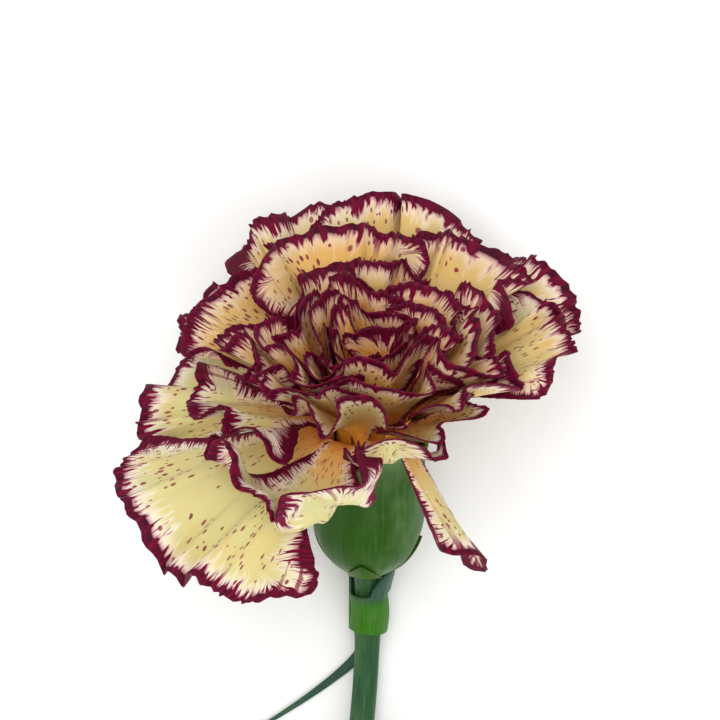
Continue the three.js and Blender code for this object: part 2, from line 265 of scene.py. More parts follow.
def close_seam(piece):
    """Joins the rolled tube's seam and turns its faces outward."""
    bpy.context.view_layer.objects.active = piece
    bpy.ops.object.mode_set(mode="EDIT")
    bpy.ops.mesh.select_all(action="SELECT")
    bpy.ops.mesh.remove_doubles(threshold=SEAM_GAP)
    bpy.ops.mesh.normals_make_consistent(inside=False)
    bpy.ops.object.mode_set(mode="OBJECT")


def place_points(piece, points):
    """Gives the piece's vertices new places."""
    piece.data.vertices.foreach_set("co", np.ascontiguousarray(points, dtype=np.float32).ravel())
    piece.data.update()


def paint_map(piece, name, first, second):
    """A UV map from two values per vertex."""
    mesh = piece.data
    layer = mesh.uv_layers.get(name) or mesh.uv_layers.new(name=name)
    corner = np.empty(len(mesh.loops), dtype=np.int32)
    mesh.loops.foreach_get("vertex_index", corner)
    pairs = np.stack([first[corner], second[corner]], axis=1).astype(np.float32)
    layer.data.foreach_set("uv", pairs.ravel())


def paint_value(piece, name, values):
    """A named value per vertex, for the material to read."""
    layer = piece.data.attributes.new(name=name, type="FLOAT", domain="POINT")
    layer.data.foreach_set("value", values.astype(np.float32))


def thicken(piece, thickness):
    """Turns a sheet into a closed shell, and smooths it."""
    bpy.ops.object.select_all(action="DESELECT")
    piece.select_set(True)
    bpy.context.view_layer.objects.active = piece
    solid = piece.modifiers.new("Thickness", "SOLIDIFY")
    solid.thickness = thickness
    solid.offset = 0
    bpy.ops.object.modifier_apply(modifier=solid.name)
    bpy.ops.object.shade_smooth()


def finish_piece(piece, material, slot, *nodes):
    """Paints the piece and lets it stand for its CAD nodes."""
    piece.data.materials.clear()
    piece.data.materials.append(material)
    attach(piece, "root")
    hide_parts(*nodes)


# ---- Petal shape ----


# Count, length in degrees and strength of the broad, middling and fine waves.
RIPPLES = ((12, 40, 2.8), (14, 21, 1.6), (14, 11, 0.45))
FLOW_STEPS = 5
LEAN_STEPS = 28
OVARY_ROOM = 2.9  # mm from the axis to the innermost claw, round the ovary
STYLE_ROOM = 1.75  # and above it, round the styles
OVARY_TOP = 14.8  # mm above the calyx's base
STYLE_TAPER = 8  # mm over which the one room becomes the other
CLAW_GAP = 0.45  # mm between the calyx and the outermost claw


def ripple_field(seed):
    """Waves of a smooth sideways drift: direction, phase and strength of each."""
    random = np.random.default_rng(seed)
    waves = []
    for count, wavelength, strength in RIPPLES:
        heading = random.uniform(0, 2 * math.pi, count)
        size = 2 * math.pi / (wavelength * random.uniform(0.8, 1.25, count))
        phase = random.uniform(0, 2 * math.pi, count)
        for h, k, p in zip(heading, size, phase):
            waves.append((k * math.cos(h), k * math.sin(h), p, strength))
    return waves


def drift(waves, x, y):
    """Which way the waves carry each point. The drift never crowds points together."""
    dx = np.zeros_like(x)
    dy = np.zeros_like(y)
    for kx, ky, phase, strength in waves:
        wave = strength * np.cos(kx * x + ky * y + phase) / math.hypot(kx, ky)
        dx += ky * wave
        dy -= kx * wave
    return dx, dy


def rippled(waves, x, y, time):
    """Carries points along the drift. Points that start apart stay apart, so petals never cross."""
    for _ in range(FLOW_STEPS):
        dx, dy = drift(waves, x, y)
        half_x, half_y = x + dx * time / FLOW_STEPS / 2, y + dy * time / FLOW_STEPS / 2
        dx, dy = drift(waves, half_x, half_y)
        x, y = x + dx * time / FLOW_STEPS, y + dy * time / FLOW_STEPS
    return x, y


def bloom_points(sizes, stem, spread, around, distance):
    """Points of the bloom: spread and around in degrees, distance from the claw's foot in mm."""
    claw_length, bend = sizes.claw_length / MM, sizes.limb_bend / MM
    claw = np.minimum(distance, claw_length)
    limb = distance - claw
    height = sizes.calyx_length / MM - claw_length + claw
    outer = calyx_outside(sizes, stem, height * MM) / MM - sizes.calyx_wall / MM - CLAW_GAP
    inner = mix(OVARY_ROOM, STYLE_ROOM, smooth((height - OVARY_TOP) / STYLE_TAPER))
    share = np.clip((spread - CORE_SPREAD) / (WIDEST_SPREAD - CORE_SPREAD), 0, 1.1) ** 0.4
    radius = mix(inner, outer, share)
    for i in range(LEAN_STEPS):
        lean = np.radians(spread) * smooth((i + 0.5) / LEAN_STEPS * limb / bend)
        height = height + np.cos(lean) * limb / LEAN_STEPS
        radius = radius + np.sin(lean) * limb / LEAN_STEPS
    turn = np.radians(around)
    return np.stack([radius * np.cos(turn), radius * np.sin(turn), height], axis=1) * MM


def front_lift(forward):
    """How far the petals in front stand up, in degrees: the heart keeps its place, and so do
    the guard petals, so no petal passes another."""
    fading = smooth((forward - LIFT_FULL) / LIFT_FADE)
    return FRONT_LIFT * smooth(forward / LIFT_FULL) * (1 - fading)


TOOTH_WIDTH = 0.75  # mm
LOBE_WIDTH = 5.5  # mm


def fringe(random, across, width):
    """How far the rim is notched at each point across, from 0 to 1."""
    x = across * width / 2
    fine = np.abs(noise_line(random, x, TOOTH_WIDTH))
    lobes = np.abs(noise_line(random, x, LOBE_WIDTH))
    return 0.55 * fine + 0.75 * lobes**2


CLAW_SHARE = 0.12  # share of a petal's rows that its claw takes
CLAW_HALF = 5.8  # degrees from a claw's middle to its side
MOST_WRAP = 60  # degrees from a petal's middle to its side, at most
SHOULDER_DROP = 0.16  # share by which a petal is shorter at its sides
DEEPEST_NOTCH = 1.6
RIPPLE_START = 3  # mm above the throat
RIPPLE_SCALE = 22  # mm of petal over which the ripples reach their full strength
LIFT_LENGTH = 14  # mm of petal over which the lift in front builds up
FOLDED_HALF = 8  # mm from middle to side of the narrowest petal, laid flat
MARGIN_BLEND = 0.8  # mm over which the rim's margin turns into the side's
WARM_SPREAD = 25  # petals inside this spread carry the amber tone all over, their own colour with some painted glow
PALE_SPREAD = 90  # and petals at this one only at the throat, where it is painted glow of scattered light


def petal_length(design, sizes, random, u, t, opening):
    """Distance of each point from the claw's foot, in mm, with the notches of the fringe."""
    limb, width = design[2:4]
    notch = fringe(random, u, width) * sizes.tooth_depth / MM * DEEPEST_NOTCH
    shoulder = 1 - SHOULDER_DROP * np.abs(u) ** 3 * opening
    limb_at = limb * opening * shoulder - notch * smooth((opening - 0.7) / 0.3)
    return np.minimum(t / CLAW_SHARE, 1) * (sizes.claw_length / MM) + limb_at


def petal_width(design, rim_radius, random, u, t, opening):
    """Half the petal's width in degrees, at each point and at its rim."""
    rim_half = min(math.degrees(design[3] / 2 / rim_radius), MOST_WRAP)
    nicks = 0.03 * np.abs(noise_line(random, t * 40 + (u > 0) * 60, 0.9))
    side = 1 - nicks * smooth((opening - 0.3) / 0.3)
    return mix(CLAW_HALF, rim_half, np.sin(opening * math.pi / 2) ** 1.3) * side, rim_half


def petal_spread(design, random, u, opening):
    """How far each point leans out in degrees, with the petal's own folds and frilled rim."""
    spread, width = design[1], design[3]
    twist, bow, curl = design[4:7]
    frill = noise_line(random, u * width / 2, 2.4) * 1.3 + noise_line(random, u * width / 2, 1.1) * 0.5
    leaning = spread + twist * u * opening + bow * (u * u - 0.3) * opening
    leaning = leaning - curl * smooth((opening - 0.5) / 0.5) ** 1.5
    leaning = leaning + frill * smooth((opening - 0.6) / 0.4) ** 1.5
    return np.maximum(leaning, 1.0)


def rest_on_surface(points, lowest):
    """Keeps points above the surface: those that would pass through it bend along it."""
    ease = 1.5 * MM
    lift = np.clip((points[:, 2] - lowest + ease) / (2 * ease), 0, None)
    resting = lowest + ease * np.minimum(lift, 1) ** 2
    points[:, 2] = np.where(points[:, 2] > lowest + ease, points[:, 2], resting)
    return points


def paint_petal(piece, name, design, u, opening, limb_mm, half, rim_half, rim_radius):
    """Lays the margin and fan maps in mm; how amber each point is, the inner petals' own tone with a
    painted glow near the throats; how much painted shade lies on it low in the bloom; and how pale it is.
    """
    spread, limb = design[1:3]
    half_width = np.radians(half) * rim_radius * (0.3 + 0.7 * opening)
    rim_gap = (1 - opening) * limb
    side_gap = (1 - np.abs(u)) * np.maximum(half_width, FOLDED_HALF) * 1.3
    near_rim = np.exp(-rim_gap / MARGIN_BLEND) + 1e-12
    near_side = np.exp(-side_gap / MARGIN_BLEND) + 1e-12
    gap = np.maximum(-np.log(near_rim + near_side) * MARGIN_BLEND, 0)
    gap = gap + 9 * (1 - smooth(opening / 0.4))  # no margin along the claw
    corner = np.radians(rim_half) * rim_radius
    along_side = np.sign(u) * (corner + rim_gap)
    run = mix(u * corner, along_side, near_side / (near_rim + near_side))
    offset = name_number(name) * 1.7
    paint_map(piece, "Margin", run + offset, gap)
    paint_map(piece, "Fan", np.arctan2(u * half_width, limb_mm + 9) * 30 + offset, limb_mm)
    inner = 1 - smooth((spread - WARM_SPREAD) / (PALE_SPREAD - WARM_SPREAD))
    near_throat = 1 - smooth((limb_mm - 3) / 22)
    # Amber share: the inner petals' own tone, plus a painted glow of scattered light near every throat.
    paint_value(piece, "warmth", np.clip(0.02 + 0.65 * inner + 0.8 * near_throat, 0, 1))
    # Painted shade: full for the first 2 mm of the limb, gone 12 to 18 mm up it.
    paint_value(piece, "depth", 1 - smooth((limb_mm - 2) / (10 + 6 * inner)))
    paint_value(piece, "pallor", np.full(len(u), 1 - 0.5 * inner))


def make_petal(name, design, sizes, stem, waves, material, columns, rows):
    """One petal: a grid carried to its place in the bloom, rippled, painted and thickened."""
    around, spread, limb = design[:3]
    claw_length = sizes.claw_length / MM
    random = np.random.default_rng(name_number(name) * 7)
    piece, u, t = new_grid(name + "_blade", columns, rows)
    opening = np.clip((t - CLAW_SHARE) / (1 - CLAW_SHARE), 0, 1)
    distance = petal_length(design, sizes, random, u, t, opening)
    limb_mm = np.maximum(distance - claw_length, 0)

    near_rim = np.array([claw_length + 0.8 * limb])
    rim_radius = bloom_points(sizes, stem, np.array([float(spread)]), np.zeros(1), near_rim)[0, 0] / MM
    half, rim_half = petal_width(design, rim_radius, random, u, t, opening)
    leaning = petal_spread(design, random, u, opening)
    turn = np.radians(around + u * half)
    x, y = leaning * np.cos(turn), leaning * np.sin(turn)
    y = y + front_lift(-y) * smooth(limb_mm / LIFT_LENGTH)
    ripple = design[7] * sizes.ruffle
    time = (np.clip(limb_mm - RIPPLE_START, 0, None) / RIPPLE_SCALE) ** 1.35 * ripple
    x, y = rippled(waves, x, y, time)
    points = bloom_points(sizes, stem, np.hypot(x, y), np.degrees(np.arctan2(y, x)), distance)
    points = moved(points, bloom_place(sizes.tilt))
    place_points(piece, rest_on_surface(points, sizes.petal_thickness / 2))

    paint_petal(piece, name, design, u, opening, limb_mm, half, rim_half, rim_radius)
    thicken(piece, sizes.petal_thickness)
    finish_piece(piece, material, "petal", name)


# ---- Materials ----

PETAL_COLOURS = ("Edge", "Dark Edge", "Flush", "Fleck", "Halo", "Pale", "Warm", "Deep")
FURROW = (0.01, 0.03, 0.01, 1)  # darkest green, in the lines of the skin


class Wiring:
    """Adds nodes to a node tree, with inputs given by name, or by place as i0, i1 and so on."""

    def __init__(self, tree):
        self.tree = tree

    def add(self, kind, settings=None, **inputs):
        """A new node, with its inputs linked or set."""
        made = self.tree.nodes.new(kind)
        for key, value in (settings or {}).items():
            setattr(made, key, value)
        for key, value in inputs.items():
            by_place = key[0] == "i" and key[1:].isdigit()
            socket = made.inputs[int(key[1:])] if by_place else made.inputs[key.replace("_", " ")]
            if isinstance(value, bpy.types.NodeSocket):
                self.tree.links.new(value, socket)
            else:
                socket.default_value = value
        return made

    def maths(self, operation, first, second):
        return self.add("ShaderNodeMath", {"operation": operation}, i0=first, i1=second).outputs[0]

    def times(self, first, second):
        return self.maths("MULTIPLY", first, second)

    def ramp(self, value, low, high, out_low=0.0, out_high=1.0):
        """Eases from out_low to out_high as the value goes from low to high."""
        settings = {"interpolation_type": "SMOOTHSTEP"}
        made = self.add("ShaderNodeMapRange", settings, i0=value, i1=low, i2=high, i3=out_low, i4=out_high)
        return made.outputs[0]

    def blend(self, share, first, second):
        """A share of the second colour over the first."""
        made = self.add("ShaderNodeMix", {"data_type": "RGBA"}, i0=share, i6=first, i7=second)
        return made.outputs[2]

    def noise(self, vector, detail=2.0, roughness=0.5):
        settings = {"noise_dimensions": "2D"}
        inputs = {"Vector": vector, "Scale": 1.0, "Detail": detail, "Roughness": roughness}
        return self.add("ShaderNodeTexNoise", settings, **inputs).outputs[0]

    def stretch(self, vector, x, y):
        settings = {"operation": "MULTIPLY"}
        return self.add("ShaderNodeVectorMath", settings, i0=vector, i1=(x, y, 1)).outputs[0]


def new_group(name, **inputs):
    """A node group that puts out a colour, a roughness and a height, with its inputs by kind."""
    tree = bpy.data.node_groups.new(name, "ShaderNodeTree")
    for kind, labels in inputs.items():
        for label in labels:
            tree.interface.new_socket(label, in_out="INPUT", socket_type="NodeSocket" + kind)
    for label, kind in (("Color", "Color"), ("Roughness", "Float"), ("Height", "Float")):
        tree.interface.new_socket(label, in_out="OUTPUT", socket_type="NodeSocket" + kind)
    return tree, tree.nodes.new("NodeGroupInput").outputs, tree.nodes.new("NodeGroupOutput").inputs


def put_out(tree, results, **values):
    """Links the group's results."""
    for label, value in values.items():
        tree.links.new(value, results[label])


def petal_margin(w, given):
    """The dark margin with its spikes: how far each point lies beyond it, and the spikes."""
    margin = given["Margin"]
    distance = w.add("ShaderNodeSeparateXYZ", i0=margin).outputs[1]
    broad = w.noise(w.stretch(margin, 0.22, 0.03), detail=1.0)
    spikes = w.noise(w.stretch(margin, 2.1, 0.12), roughness=0.6)
    spike = w.times(w.ramp(spikes, 0.42, 0.72, 0.0, 3.2), w.ramp(broad, 0.3, 0.7, 0.55, 1.1))
    reach = w.times(given["Edge Width"], w.ramp(broad, 0.3, 0.7, 0.6, 1.4))
    reach = w.times(w.maths("ADD", reach, spike), w.ramp(given["Pallor"], 0.5, 1.0, 0.85, 1.0))
    return distance, w.maths("SUBTRACT", distance, reach), spikes


def petal_marks(w, fan, distance):
    """Short flecks, most of them near the rim, and a few long stripes."""
    cell_shape = w.stretch(fan, 2.6, 0.5)
    cells = w.add("ShaderNodeTexVoronoi", {"voronoi_dimensions": "2D"}, Vector=cell_shape, Scale=1.0)
    chance = w.add("ShaderNodeSeparateColor", i0=cells.outputs["Color"]).outputs
    size = w.ramp(chance[1], 0.0, 1.0, 0.2, 0.38)
    fleck = w.ramp(w.maths("SUBTRACT", cells.outputs["Distance"], size), -0.12, 0.0, 1.0, 0.0)
    band = w.times(w.ramp(distance, 1.5, 4.0, 0.5, 1.0), w.ramp(distance, 7.0, 16.0, 1.0, 0.12))
    crowd = w.noise(w.stretch(fan, 0.1, 0.1), detail=1.0)
    share = w.times(band, w.ramp(crowd, 0.35, 0.65, 0.1, 0.6))
    picked = w.maths("LESS_THAN", chance[0], share)
    fleck = w.times(w.times(fleck, picked), w.ramp(chance[2], 0, 1, 0.85, 1.0))
    stripe = w.ramp(w.noise(w.stretch(fan, 1.6, 0.01), detail=0.0), 0.76, 0.79)
    stripe = w.times(stripe, w.ramp(distance, 2.0, 7.0, 0.9, 0.0))
    return w.maths("MAXIMUM", fleck, stripe)


def edged_petal_group():
    """Dark jagged margin, pale band, flecks and faint veins of an edged petal."""
    tree, given, results = new_group(
        "Edged Petal",
        Vector=("Margin", "Fan"),
        Float=("Warmth", "Depth", "Pallor", "Edge Width"),
        Color=PETAL_COLOURS,
    )
    w = Wiring(tree)
    fan = given["Fan"]
    distance, beyond, spikes = petal_margin(w, given)
    edge = w.ramp(beyond, -0.3, 0.2, 1.0, 0.0)
    tinge = w.ramp(beyond, -0.1, 1.1, 0.65, 0.0)
    halo = w.times(w.ramp(beyond, 0.0, 4.0, 0.85, 0.0), given["Pallor"])
    hairs = w.ramp(w.noise(w.stretch(given["Margin"], 3.6, 0.16), detail=1.0), 0.54, 0.7)
    hairs = w.times(hairs, w.ramp(beyond, 0.0, 2.0, 0.6, 0.0))
    marks = petal_marks(w, fan, distance)
    veins = w.noise(w.stretch(fan, 1.6, 0.04), roughness=0.6)
    clouds = w.noise(w.stretch(fan, 0.12, 0.1))
    warmth = w.maths("ADD", given["Warmth"], w.ramp(clouds, 0.3, 0.7, -0.1, 0.1))
    dark = w.blend(w.ramp(spikes, 0.35, 0.7), given["Dark Edge"], given["Edge"])

    # Amber over the pale: the inner petals' own tone and, near the throats, a painted glow of light
    # scattered in the bloom.
    base = w.blend(warmth, given["Pale"], given["Warm"])
    for share, over in (
        (w.ramp(veins, 0.35, 0.7, 0.0, 0.08), given["Warm"]),
        # painted shade: the darker amber low in the bloom
        (w.times(given["Depth"], 0.9), given["Deep"]),
        (halo, given["Halo"]),
        (tinge, given["Flush"]),
        (hairs, given["Flush"]),
        (w.times(marks, 0.92), given["Fleck"]),
        (edge, dark),
    ):
        base = w.blend(share, base, over)
    height = w.maths("ADD", w.times(veins, 0.8), w.times(edge, 0.15))
    put_out(tree, results, Color=base, Roughness=w.ramp(edge, 0.0, 1.0, 0.65, 0.6), Height=height)
    return tree


def waxy_green_group():
    """Fine lengthwise lines and a patchy waxy bloom on green plant skin."""
    tree, given, results = new_group(
        "Waxy Green",
        Vector=("Skin",),
        Float=("Tint", "Line Spacing", "Wax Amount"),
        Color=("Green", "Tint Color", "Wax"),
    )
    w = Wiring(tree)
    skin = given["Skin"]
    fineness = w.maths("DIVIDE", 1.0, given["Line Spacing"])
    scaled = w.add("ShaderNodeVectorMath", {"operation": "SCALE"}, i0=skin, Scale=fineness).outputs[0]
    lines = w.noise(w.stretch(scaled, 1.0, 0.06), detail=3.0, roughness=0.65)
    patches = w.noise(w.stretch(skin, 0.22, 0.1), detail=3.0, roughness=0.6)
    speckle = w.noise(w.stretch(skin, 3.0, 3.0))
    wax = w.times(w.ramp(patches, 0.35, 0.7), given["Wax Amount"])
    waxed_lines = w.times(w.ramp(lines, 0.5, 0.75), w.times(given["Wax Amount"], 0.5))
    wax = w.maths("ADD", wax, waxed_lines)
    base = w.blend(given["Tint"], given["Green"], given["Tint Color"])
    base = w.blend(w.ramp(lines, 0.3, 0.6, 0.28, 0.0), base, FURROW)
    base = w.blend(wax, base, given["Wax"])
    base = w.blend(w.ramp(speckle, 0.55, 0.8, 0.0, 0.08), base, given["Wax"])
    height = w.maths("ADD", lines, w.times(speckle, 0.2))
    put_out(tree, results, Color=base, Roughness=w.ramp(wax, 0.0, 0.6, 0.36, 0.6), Height=height)
    return tree


def opaque(values):
    """A colour with full alpha."""
    return (*values, 1.0)


def new_material(name, group, maps, values, bump, **shader_values):
    """A material that reads the piece's maps through a pattern group, over one shader.

    maps names the UV map or painted value for each of the group's inputs. UV maps start with a
    capital letter, painted values don't.
    """
    material = bpy.data.materials.new(name)
    material.use_nodes = True
    tree = material.node_tree
    tree.nodes.clear()
    w = Wiring(tree)
    pattern = w.add("ShaderNodeGroup", {"node_tree": group})
    for label, source in maps.items():
        if source[0].isupper():
            output = w.add("ShaderNodeUVMap", {"uv_map": source}).outputs[0]
        else:
            output = w.add("ShaderNodeAttribute", {"attribute_name": source}).outputs["Fac"]
        tree.links.new(output, pattern.inputs[label])
    for label, value in values.items():
        pattern.inputs[label].default_value = value
    relief = w.add("ShaderNodeBump", Height=pattern.outputs["Height"], Strength=0.6, Distance=bump)
    shader = w.add(
        "ShaderNodeBsdfPrincipled",
        Base_Color=pattern.outputs["Color"],
        Roughness=pattern.outputs["Roughness"],
        Normal=relief.outputs[0],
        **shader_values,
    )
    w.add("ShaderNodeOutputMaterial", Surface=shader.outputs[0])
    return material


def petal_material():
    """The one material of all petals."""
    made = bpy.data.materials.get("Edged Petal")
    if made:
        return made
    colours = bpy.context.scene.carnation_petal_colours
    values = {"Edge Width": colours.edge_width / MM}
    for label in PETAL_COLOURS:
        values[label] = opaque(getattr(colours, label.lower().replace(" ", "_")))
    return new_material(
        "Edged Petal",
        edged_petal_group(),
        {"Margin": "Margin", "Fan": "Fan", "Warmth": "warmth", "Depth": "depth", "Pallor": "pallor"},
        values,
        0.12 * MM,
        Subsurface_Weight=0.4,
        Subsurface_Radius=(1.0, 0.7, 0.4),
        Subsurface_Scale=0.5 * MM,
        Specular_IOR_Level=0.12,
    )


def paint_green(piece, across, along, tint, wax):
    """Lays the skin pattern in mm, and where the skin is tinted and waxy."""
    paint_map(piece, "Skin", across, along)
    paint_value(piece, "tint", np.clip(tint, 0, 1))
    paint_value(piece, "wax", np.clip(wax, 0, 1) + 0 * across)


# Green, the green of its tinted places, and the spacing of its lines in mm.
GREEN_SKINS = {
    "Calyx Skin": ("calyx", "calyx_base", 0.9),
    "Scale Skin": ("calyx", "calyx_base", 0.6),
    "Pistil Skin": ("calyx", "calyx_base", 0.6),
    "Stem Skin": ("stem", "joint", 0.45),
    "Leaf Skin": ("leaf", "joint", 0.35),
}


def green_material(name):
    """One of the waxy green skins."""
    made = bpy.data.materials.get(name)
    if made:
        return made
    greens = bpy.context.scene.carnation_greens
    green, tint, spacing = GREEN_SKINS[name]
    return new_material(
        name,
        bpy.data.node_groups.get("Waxy Green") or waxy_green_group(),
        {"Skin": "Skin", "Tint": "tint", "Wax Amount": "wax"},
        {
            "Green": opaque(getattr(greens, green)),
            "Tint Color": opaque(getattr(greens, tint)),
            "Wax": opaque(greens.bloom_wax),
            "Line Spacing": spacing,
        },
        0.08 * MM,
        Subsurface_Weight=0.15,
        Subsurface_Radius=(0.4, 1.0, 0.3),
        Subsurface_Scale=1.0 * MM,
        Specular_IOR_Level=0.1,
    )


# ---- Operators ----

SHARP = math.radians(40)  # edges sharper than this stay sharp
SCALES = 4


class Undoable:
    """What all the operators share."""

    bl_options = {"REGISTER", "UNDO"}


class PetalRing(Undoable):
    """Shared steps of the operators that make a ring of petals."""

    columns = 120
    rows = 46

    def execute(self, context):
        sizes, stem = context.scene.carnation_bloom, context.scene.carnation_stem
        waves = ripple_field(sizes.seed)
        designs = PETALS | heart_petals()
        for name in [name for name in designs if name.startswith(self.ring)]:
            make_petal(name, designs[name], sizes, stem, waves, petal_material(), self.columns, self.rows)
        return {"FINISHED"}


class CARNATION_OT_guard_petals(PetalRing, bpy.types.Operator):
    """Model the six large outermost petals"""

    bl_idname = "carnation.guard_petals"
    bl_label = "Guard Petals"
    ring = "guard"


class CARNATION_OT_outer_petals(PetalRing, bpy.types.Operator):
    """Model the ring of petals inside the guard petals"""

    bl_idname = "carnation.outer_petals"
    bl_label = "Outer Petals"
    ring = "outer"


class CARNATION_OT_middle_petals(PetalRing, bpy.types.Operator):
    """Model the ruffled ring round the heart"""

    bl_idname = "carnation.middle_petals"
    bl_label = "Middle Petals"
    ring = "middle"


class CARNATION_OT_heart_petals(PetalRing, bpy.types.Operator):
    """Model the crowded petals of the heart"""

    bl_idname = "carnation.heart_petals"
    bl_label = "Heart Petals"
    ring = "heart"
    columns = 96
    rows = 40


FLOOR_WHITE = (0.93, 0.93, 0.93, 1)
WORLD_LIGHT = 0.7
CAMERA_HEIGHT = 0.62  # above the middle of the bloom
CAMERA_FIELD = 0.1235  # width of what it sees there
CAMERA_AIM = (-1.4 * MM, 36.4 * MM)  # from the calyx's base
BLOOM_MIDDLE = 35 * MM  # above the surface
SENSOR = 36
# Place, size in metres and power in watts.
SOFTBOXES = {
    "key_softbox": ((-0.15, 0.2, 0.95), 0.6, 4.6),
    "fill_softbox": ((0.4, -0.3, 0.8), 0.8, 2.0),
    "front_softbox": ((0.0, -0.6, 0.45), 0.6, 1.0),
}


def make_floor():
    """The pale surface the flower lies on."""
    bpy.ops.object.select_all(action="DESELECT")
    bpy.ops.mesh.primitive_plane_add(size=4)
    floor = bpy.context.object
    floor.name = "floor"
    paint = bpy.data.materials.new("Pale Floor")
    paint.use_nodes = True
    shader = paint.node_tree.nodes["Principled BSDF"]
    shader.inputs["Base Color"].default_value = FLOOR_WHITE
    shader.inputs["Roughness"].default_value = 0.9
    floor.data.materials.append(paint)


def make_lights(scene, target):
    """Softboxes turned to the bloom, in a bright white world."""
    for name, (place, size, power) in SOFTBOXES.items():
        bpy.ops.object.light_add(type="AREA", location=place)
        lamp = bpy.context.object
        lamp.name = name
        lamp.data.size = size
        lamp.data.energy = power
        lamp.rotation_euler = (target - Vector(place)).to_track_quat("-Z", "Y").to_euler()
    world = bpy.data.worlds.new("Studio")
    world.use_nodes = True
    background = world.node_tree.nodes["Background"]
    background.inputs["Color"].default_value = (1, 1, 1, 1)
    background.inputs["Strength"].default_value = WORLD_LIGHT
    scene.world = world
    scene.view_settings.view_transform = "Standard"


def make_camera(scene, calyx_base):
    """A camera straight above the bloom, looking down."""
    lens = bpy.data.cameras.new("camera")
    lens.sensor_width = SENSOR
    lens.lens = SENSOR * CAMERA_HEIGHT / CAMERA_FIELD
    lens.clip_start = 0.05
    camera = bpy.data.objects.new("camera", lens)
    scene.collection.objects.link(camera)
    aim_x, aim_y = CAMERA_AIM
    height = BLOOM_MIDDLE + CAMERA_HEIGHT
    camera.location = (calyx_base.x + aim_x, calyx_base.y + aim_y, height)
    scene.camera = camera


class CARNATION_OT_stage(Undoable, bpy.types.Operator):
    """Set the pale floor, soft light and the camera above the flower"""

    bl_idname = "carnation.stage"
    bl_label = "Stage"

    def execute(self, context):
        calyx_base = bloom_place(context.scene.carnation_bloom.tilt).translation
        make_floor()
        make_lights(context.scene, calyx_base + Vector((0, 0.02, 0.02)))
        make_camera(context.scene, calyx_base)
        return {"FINISHED"}


class CARNATION_OT_calyx(Undoable, bpy.types.Operator):
    """Model the green calyx with its five teeth"""

    bl_idname = "carnation.calyx"
    bl_label = "Calyx"

    def execute(self, context):
        sizes, stem = context.scene.carnation_bloom, context.scene.carnation_stem
        teeth_foot = 24 * MM
        flare = 1.6 * MM
        shell = 0.6 * MM

        def shape(turn, t):
            height = sizes.calyx_length * t**1.2
            rise = np.clip((height - teeth_foot) / (sizes.calyx_length - teeth_foot), 0, 1)
            radius = calyx_outside(sizes, stem, height) - shell / 2 + rise**2 * flare
            ridges = 0.06 * MM * np.cos(turn * 40) + 0.1 * MM * np.cos(turn * 10)
            radius = radius + ridges * smooth(t / 0.3)
            tooth = np.abs(np.cos(turn * 2.5)) ** 1.6
            height = height + rise * sizes.tooth_length * tooth
            return np.stack([radius * np.cos(turn), radius * np.sin(turn), height], axis=1) / MM

        piece, turn, _ = roll_tube("calyx_cup", 100, 60, shape)
        height = vertex_array(piece.data)[:, 2] / MM
        place_points(piece, moved(vertex_array(piece.data), bloom_place(sizes.tilt)))
        yellow_foot, pale_tips = 7, 28  # mm above the base: the foot's end, the tips' start
        bottom = np.clip(1 - height / yellow_foot, 0, 1) ** 1.2
        tips = smooth((height - pale_tips) / 6)
        wax = 0.02 + 0.4 * smooth(np.cos(turn + 0.3) * 0.8 + 0.1)
        paint_green(piece, turn * sizes.calyx_radius / MM, height, bottom * 0.75 + tips * 0.5, wax)
        close_seam(piece)
        thicken(piece, shell)
        finish_piece(piece, green_material("Calyx Skin"), "calyx", "calyx")
        return {"FINISHED"}


# ---- Stem and leaves ----


class StemPath:
    """The stem's middle line: an arc down from the calyx's base, then along the surface. In mm."""

    joints = (11.5, 60, 114)
    joint_length = 3
    lying = 3.7  # height of the middle line where the stem lies
    lean = math.tan(math.radians(9))  # sideways
    lean_start = 10  # below the calyx
    lean_build = 30  # over which the lean builds up

    def __init__(self, scene):
        self.sizes = scene.carnation_stem
        self.tilt = scene.carnation_bloom.tilt
        self.base = np.array(bloom_place(self.tilt).translation) / MM
        self.arc = (self.base[2] - self.lying) / (1 - math.cos(self.tilt))

    def centre(self, s):
        """The middle line at a distance s below the calyx."""
        angle = np.clip(self.tilt - s / self.arc, 0, self.tilt)
        before = np.minimum(s, 0)
        straight = np.maximum(0, s - self.arc * self.tilt)
        leaning = np.maximum(0, s - self.lean_start)
        built = np.minimum(leaning, self.lean_build)
        x = self.base[0] - self.lean * (leaning - built + built**2 / 2 / self.lean_build)
        y = self.base[1] - self.arc * (math.sin(self.tilt) - np.sin(angle)) - straight
        z = self.lying + self.arc * (1 - np.cos(angle)) - before * math.sin(self.tilt)
        return np.stack([x, y - before * math.cos(self.tilt), z], axis=-1)

    def frame(self, s):
        """Centre, side, up and forward at a distance below the calyx."""
        forward = self.centre(s + 0.1) - self.centre(s - 0.1)
        forward /= np.linalg.norm(forward, axis=-1, keepdims=True)
        side = np.cross(np.array([0.0, 0.0, 1.0]), forward)
        side /= np.linalg.norm(side, axis=-1, keepdims=True)
        return self.centre(s), side, np.cross(forward, side), forward

    def radius(self, s):
        """The stem's radius, with its swollen joints and the thicker neck under the calyx."""
        thick, neck = self.sizes.radius / MM, self.sizes.neck_radius / MM
        swell = sum(np.exp(-(((s - joint) / self.joint_length) ** 2)) for joint in self.joints)
        return mix(neck, thick, smooth(s / 8)) + self.sizes.joint_swell / MM * swell


